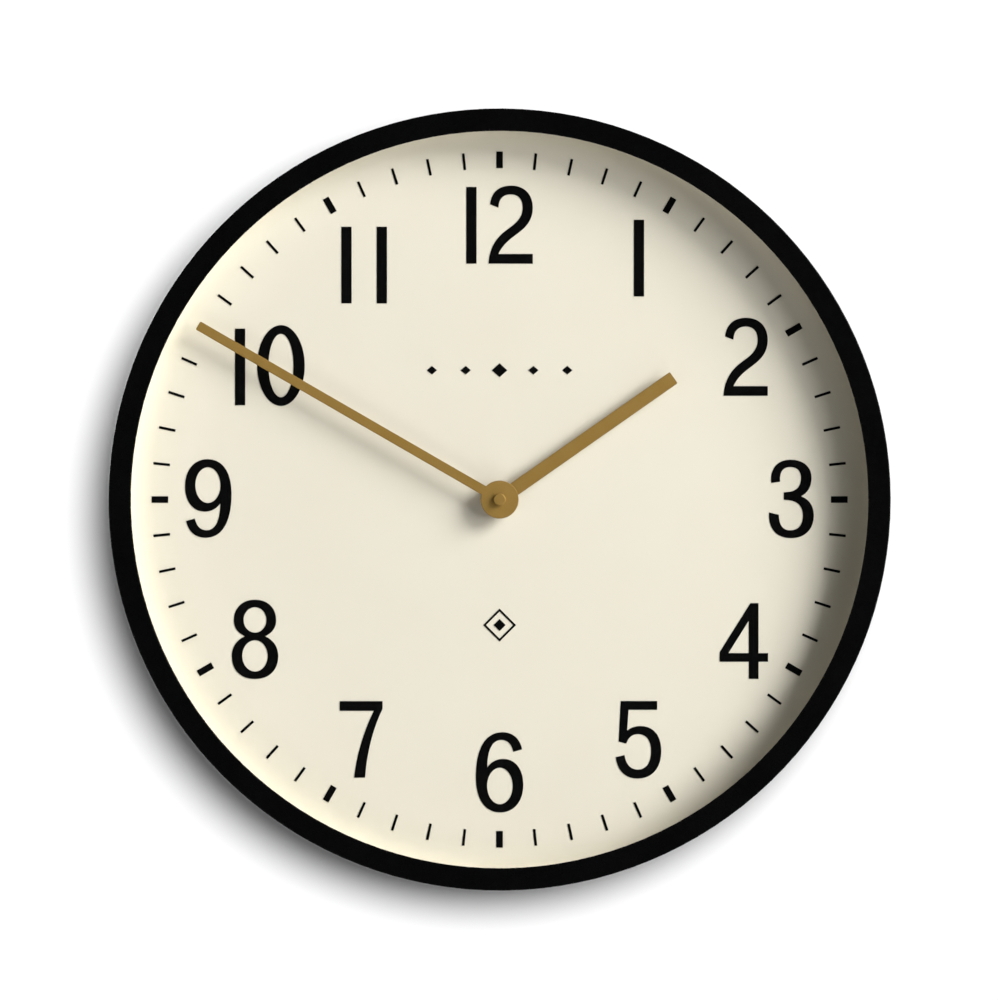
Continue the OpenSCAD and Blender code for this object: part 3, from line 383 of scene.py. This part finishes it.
FINISHES = (
    # The lighter edge tones of black_steel and movement_black are partly rubbed wear, partly a
    # painted highlight.
    tone(
        "black_steel", (0.0016, 0.0016, 0.0017), (0.0024, 0.0024, 0.0025), (0.24, 0.31),
        45, 1300, 0.005, (0.0045, 0.0045, 0.0048), 0.25, Specular_IOR_Level=0.12,
    ),
    lens_glass(),
    tone("gasket_rubber", (0.014, 0.014, 0.014), (0.022, 0.022, 0.022), (0.6, 0.8), 200, 1500),
    tone("liner_cream", (0.80, 0.75, 0.62), (0.83, 0.78, 0.655), (0.5, 0.62), 30, 1800, 0.01),
    tone(
        "dial_cream", (0.826, 0.772, 0.640), (0.842, 0.790, 0.660), (0.50, 0.62),
        14, 2600, 0.008, Specular_IOR_Level=0.3,
    ),
    tone(
        "ink_black", (0.0015, 0.0015, 0.0015), (0.0022, 0.0022, 0.0022), (0.60, 0.75),
        300, 2600, 0.006, Specular_IOR_Level=0.025,
    ),
    tone("support_plastic", (0.035, 0.035, 0.037), (0.048, 0.048, 0.05), (0.45, 0.6), 80, 1600),
    zinc_plate(),
    hand_brass(),
    turned("turned_brass", (0.55, 0.37, 0.13), (0.72, 0.52, 0.21), (0.22, 0.36)),
    tone(
        "movement_black", (0.011, 0.011, 0.012), (0.018, 0.018, 0.019), (0.42, 0.60),
        120, 2200, 0.03, (0.035, 0.035, 0.036), 0.3,
    ),
    tone(
        "train_acetal", (0.74, 0.70, 0.58), (0.82, 0.79, 0.68), (0.32, 0.42),
        160, 1800, 0.008, Subsurface_Weight=0.15, Subsurface_Scale=0.001,
    ),
    tone(
        "bridge_grey", (0.54, 0.54, 0.50), (0.64, 0.64, 0.60), (0.4, 0.52), 160, 1800, bevel=0.15,
    ),
    board_green(),
    tone("chip_epoxy", (0.006, 0.006, 0.006), (0.011, 0.011, 0.011), (0.16, 0.30), 300, 1500),
    turned("can_nickel", (0.60, 0.60, 0.58), (0.74, 0.74, 0.72), (0.15, 0.26), "X", 0.2),
    copper_wire(),
    soft_iron(),
    tone("magnet_ferrite", (0.035, 0.035, 0.038), (0.06, 0.06, 0.065), (0.5, 0.7), 400, 2400),
    turned("contact_nickel", (0.60, 0.59, 0.55), (0.74, 0.73, 0.69), (0.2, 0.34), "X", 0.3),
    cell_label(),
    tone(
        "knob_white", (0.66, 0.66, 0.63), (0.74, 0.74, 0.72), (0.3, 0.42),
        200, 1600, 0.01, bevel=0.12, Subsurface_Weight=0.1, Subsurface_Scale=0.001,
    ),
)
MATERIALS = {finish.name: finish.material for finish in FINISHES}

for part in frame["record"]["subparts"]:
    materials = NODES[part["node"]].data.materials
    materials.clear()
    materials.append(MATERIALS[part["material_slot"]])

# --------------------------------------------------------------- detailed pieces

SMOOTH_UNDER = math.radians(32)


def add(name, data):
    made = bpy.data.objects.new(name, data)
    bpy.context.scene.collection.objects.link(made)
    return made


def piece(name, mesh, body, slot, stands_for):
    mesh.normal_update()
    data = bpy.data.meshes.new(name)
    mesh.to_mesh(data)
    mesh.free()
    data.materials.append(MATERIALS[slot])
    data.shade_smooth()
    data.set_sharp_from_angle(angle=SMOOTH_UNDER)
    made = add(name, data)
    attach(made, body)
    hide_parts(stands_for)


def lathe_x(mesh, profile, y, z, sides=96):
    """Turns (x, r) points about a line along X through y and z."""
    turns = [math.tau * k / sides for k in range(sides)]
    rings = []
    for x, r in profile:
        spokes = [(y + r * math.cos(t), z + r * math.sin(t)) for t in turns] if r else [(y, z)]
        rings.append([mesh.verts.new((x, *spoke)) for spoke in spokes])
    for a, b in zip(rings, rings[1:]):
        for k in range(sides):
            n = (k + 1) % sides
            if len(a) == 1:
                corners = [a[0], b[k], b[n]]
            elif len(b) == 1:
                corners = [a[k], b[0], a[n]]
            else:
                corners = [a[k], b[k], b[n], a[n]]
            mesh.faces.new(corners)


def box(mesh, low, high, bevel):
    """A box with rounded edges between two corners."""
    made = bmesh.ops.create_cube(mesh, size=1)["verts"]
    for v in made:
        v.co = Vector([low[k] if v.co[k] < 0 else high[k] for k in range(3)])
    edges = list({e for v in made for e in v.link_edges})
    bmesh.ops.bevel(mesh, geom=edges, offset=bevel, segments=2, profile=0.5, affect="EDGES")


def tube(mesh, points, radius, sides=12):
    """A round wire along points, closed at both ends."""
    turns = [math.tau * s / sides for s in range(sides)]
    rings = []
    side = Vector((1, 0, 0))
    for k, p in enumerate(points):
        ahead = (points[min(k + 1, len(points) - 1)] - points[max(k - 1, 0)]).normalized()
        side = (side - ahead * side.dot(ahead)).normalized()
        other = ahead.cross(side)
        spokes = [side * math.cos(t) + other * math.sin(t) for t in turns]
        rings.append([mesh.verts.new(p + radius * spoke) for spoke in spokes])
    for a, b in zip(rings, rings[1:]):
        for s in range(sides):
            n = (s + 1) % sides
            mesh.faces.new([a[s], a[n], b[n], b[s]])
    mesh.faces.new(list(reversed(rings[0])))
    mesh.faces.new(rings[-1])


cell_low, cell_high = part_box("battery")
cell_y, cell_z = (cell_low.y + cell_high.y) / 2, (cell_low.z + cell_high.z) / 2

# The cell's outline from the minus end's dish to the plus end's button: (distance, radius) in mm
CELL_PROFILE = [
    (0.20, 0), (0.20, 4.6), (0.26, 4.9), (0.30, 6.1), (0.12, 6.35), (0.0, 6.6), (0.03, 6.85),
    (0.16, 7.08), (0.40, 7.21), (0.70, 7.25), (16, 7.25), (32, 7.25), (48.6, 7.25),
    (48.95, 7.21), (49.28, 7.06), (49.45, 6.8), (49.42, 6.5), (49.2, 6.2), (49.0, 5.9),
    (48.95, 3.5), (49.02, 3.1), (49.25, 2.85), (49.55, 2.75), (50.1, 2.75), (50.36, 2.66),
    (50.47, 2.45), (50.5, 2.2), (50.5, 0),
]
cell = bmesh.new()
lathe_x(cell, [(cell_low.x + x * MM, r * MM) for x, r in CELL_PROFILE], cell_y, cell_z)
piece("battery_cell", cell, "battery_group", "cell_label", "battery")

# The minus contact: a square plate with a tongue and a foot on the board, and a conical spring
contact_low, contact_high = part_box("negative_contact")
PLATE_T, PLATE_HALF, PLATE_BEVEL = 0.3 * MM, 5 * MM, 0.08 * MM
TONGUE_WIDTH, TONGUE_GAP = 2 * MM, 0.6 * MM
FOOT_WIDTH, FOOT_DEPTH, FOOT_GAP, FOOT_BEVEL = 0.4 * MM, 1.2 * MM, 0.1 * MM, 0.06 * MM
SPRING_TURNS, SPRING_STEPS, SPRING_WIRE_R = 3.25, 130, 0.3 * MM
SPRING_R, SPRING_TIP_R = 4.5 * MM, 2.6 * MM
SPRING_START, SPRING_RISE, SPRING_EASE = 0.3 * MM, 1.35 * MM, 1.3

plate_x = contact_low.x + PLATE_T
foot_y = contact_high.y - FOOT_GAP
spring = bmesh.new()
box(
    spring,
    (contact_low.x, cell_y - PLATE_HALF, cell_z - PLATE_HALF),
    (plate_x, cell_y + PLATE_HALF, cell_z + PLATE_HALF),
    PLATE_BEVEL,
)
box(
    spring,
    (contact_low.x, contact_high.y - TONGUE_WIDTH, cell_z),
    (plate_x, contact_high.y, contact_high.z - TONGUE_GAP),
    PLATE_BEVEL,
)
box(
    spring,
    (contact_low.x, foot_y - FOOT_WIDTH, contact_high.z - FOOT_DEPTH),
    (contact_high.x, foot_y, contact_high.z),
    FOOT_BEVEL,
)
coil = []
for k in range(SPRING_STEPS + 1):
    share = k / SPRING_STEPS
    angle = math.tau * SPRING_TURNS * share
    r = SPRING_R + (SPRING_TIP_R - SPRING_R) * share
    x = plate_x + SPRING_START + SPRING_RISE * share**SPRING_EASE
    coil.append(Vector((x, cell_y + r * math.cos(angle), cell_z + r * math.sin(angle))))
tube(spring, coil, SPRING_WIRE_R)
piece("contact_spring", spring, "root", "contact_nickel", "negative_contact")

# ------------------------------------------------------------------------ stage

SENSOR, LENS = 36.0, 800.0
# The photo's frame on the plane of the clock's front: its width, and its centre's x and z
VIEW_WIDTH = 0.57515
VIEW_CENTRE = (0.00023, -0.00026)

camera_data = bpy.data.cameras.new("camera")
camera_data.sensor_width = SENSOR
camera_data.lens = LENS
camera_data.clip_start, camera_data.clip_end = 0.1, 60
camera = add("camera", camera_data)
camera_y = cad_box[0].y - VIEW_WIDTH * LENS / SENSOR
camera.location = (VIEW_CENTRE[0], camera_y, VIEW_CENTRE[1])
camera.rotation_euler = (math.radians(90), 0, 0)
bpy.context.scene.camera = camera


def wall_paint():
    """Pale paint on the wall's front. Its back is clear, so the clock's back can be seen."""
    f = Finish("wall_paint")
    f.set(
        Base_Color=f.blend(f.span(f.noise(6, 4), 0, 1), (0.82, 0.82, 0.82), (0.84, 0.84, 0.84)),
        Roughness=1.0,
        Specular_IOR_Level=0.0,
    )
    behind = f.put("ShaderNodeNewGeometry").outputs["Backfacing"]
    f.show(f.mix(behind, f.shader.outputs[0], f.clear()))
    return f


def flat(name, corners, finish):
    """A rectangle that only the camera sees: it neither lights the clock nor shades it."""
    data = bpy.data.meshes.new(name)
    data.from_pydata(corners, [], [(0, 1, 2, 3)])
    data.materials.append(finish.material)
    made = add(name, data)
    made.visible_diffuse = made.visible_glossy = made.visible_shadow = False
    return made


WALL_Y, FLOOR_Z, REACH = 0.0015, -0.30, 5.0
wall = flat(
    "wall",
    [
        (-REACH, WALL_Y, FLOOR_Z), (REACH, WALL_Y, FLOOR_Z),
        (REACH, WALL_Y, REACH), (-REACH, WALL_Y, REACH),
    ],
    wall_paint(),
)
floor = flat(
    "floor",
    [
        (-REACH, -REACH, FLOOR_Z), (REACH, -REACH, FLOOR_Z),
        (REACH, REACH, FLOOR_Z), (-REACH, REACH, FLOOR_Z),
    ],
    tone("floor_paint", (0.74, 0.74, 0.735), (0.78, 0.78, 0.775), (0.7, 0.8), 3, 60, 0.2),
)


def towards(azimuth, elevation):
    """A direction: azimuth is clockwise from twelve, elevation is above the dial's plane."""
    a, e = math.radians(azimuth), math.radians(elevation)
    return Vector((math.sin(a) * math.cos(e), -math.sin(e), math.cos(a) * math.cos(e)))


def softbox(name, azimuth, elevation, distance, size, power, mirrored):
    """An oval light that faces the clock. Its size is along the azimuth, then the elevation."""
    ahead, rising = towards(azimuth, elevation), towards(azimuth, elevation + 90)
    data = bpy.data.lights.new(name, "AREA")
    data.shape = "ELLIPSE"
    data.size, data.size_y = size
    data.energy = power
    made = add(name, data)
    made.location = ahead * distance
    made.rotation_mode = "QUATERNION"
    turn = Matrix((rising.cross(ahead), rising, ahead)).transposed()
    made.rotation_quaternion = turn.to_quaternion()
    made.visible_camera = made.visible_transmission = False
    made.visible_glossy = mirrored
    return made


def sun(name, azimuth, elevation, spread, strength, shadows):
    """Even light from one direction, with shadows as soft as the angle it is spread over."""
    data = bpy.data.lights.new(name, "SUN")
    data.angle = math.radians(spread)
    data.energy = strength
    data.use_shadow = shadows
    made = add(name, data)
    made.rotation_mode = "QUATERNION"
    made.rotation_quaternion = towards(azimuth, elevation).to_track_quat("Z", "Y")
    made.visible_glossy = False
    return made


def only_for(light, state, *objects):
    """Includes or excludes objects from what the light falls on."""
    receivers = bpy.data.collections.new(light.name + "_receivers")
    for obj in objects:
        receivers.objects.link(obj)
    for member in receivers.collection_objects:
        member.light_linking.link_state = state
    light.light_linking.receiver_collection = receivers


FRONT, FRONT_SIZE, BACK = 8.0, (4.0, 4.0), 3.2
# Azimuth, elevation, distance, size, power, and whether glass and gloss mirror the light
CLOCK_LIGHTS = {
    "key": (60, 27, FRONT, FRONT_SIZE, 868, True),
    "side": (90, 41, FRONT, FRONT_SIZE, 248, True),
    "top": (45, 41, FRONT, FRONT_SIZE, 68, True),
    "low": (150, 41, FRONT, FRONT_SIZE, 83, False),
    "bounce": (150, 13, FRONT, FRONT_SIZE, 160, False),
    "left": (240, 41, FRONT, FRONT_SIZE, 83, False),
    "back_key": (300, -48, BACK, (2.2, 2.2), 130, True),
    "back_fill": (108, -40, BACK, (2.6, 1.6), 12, True),
}
for name, settings in CLOCK_LIGHTS.items():
    only_for(softbox(name, *settings), "EXCLUDE", wall, floor)

# What the sun is for, its azimuth, elevation, spread and strength, and whether it casts shadows
STAGE_SUNS = {
    "wall_key": (wall, 47, 72.2, 29.4, 3.45, True),
    "wall_soft": (wall, 51, 75, 73, 0.5, True),
    "wall_fill": (wall, 51, 88, 5, 0.27, False),
    "floor_key": (floor, 20, 12, 50, 3.9, True),
}
for name, (lit, *settings) in STAGE_SUNS.items():
    only_for(sun(name, *settings), "INCLUDE", lit)


def build_world():
    """White for the camera. Gloss mirrors a dark room in front and a bright one round the back."""
    world = bpy.data.worlds.new("studio")
    bpy.context.scene.world = world
    world.use_nodes = True
    g = Graph(world.node_tree)
    path = g.put("ShaderNodeLightPath")
    ahead = g.put("ShaderNodeVectorMath", operation="DOT_PRODUCT")
    ahead.inputs[1].default_value = (0, -1, 0)
    g.join(g.put("ShaderNodeTexCoord").outputs["Generated"], ahead.inputs[0])
    facing = ahead.outputs["Value"]
    room = g.math("ADD", g.span(facing, 0.7, 0.004, 0.2, 0.6), g.span(facing, 0.0, 0.8, -0.1, -0.8))
    # Rays that glass bends are glossy ones too, and get none of the room
    gloss, bent = path.outputs["Is Glossy Ray"], path.outputs["Is Transmission Ray"]
    mirrored = g.math("MULTIPLY", g.math("SUBTRACT", gloss, bent, use_clamp=True), room)
    background = g.put("ShaderNodeBackground")
    background.inputs["Color"].default_value = (1, 1, 1, 1)
    seen = g.math("ADD", path.outputs["Is Camera Ray"], mirrored)
    g.join(seen, background.inputs["Strength"])
    g.join(background.outputs[0], g.put("ShaderNodeOutputWorld").inputs["Surface"])


build_world()
bpy.context.scene.view_settings.view_transform = "Standard"
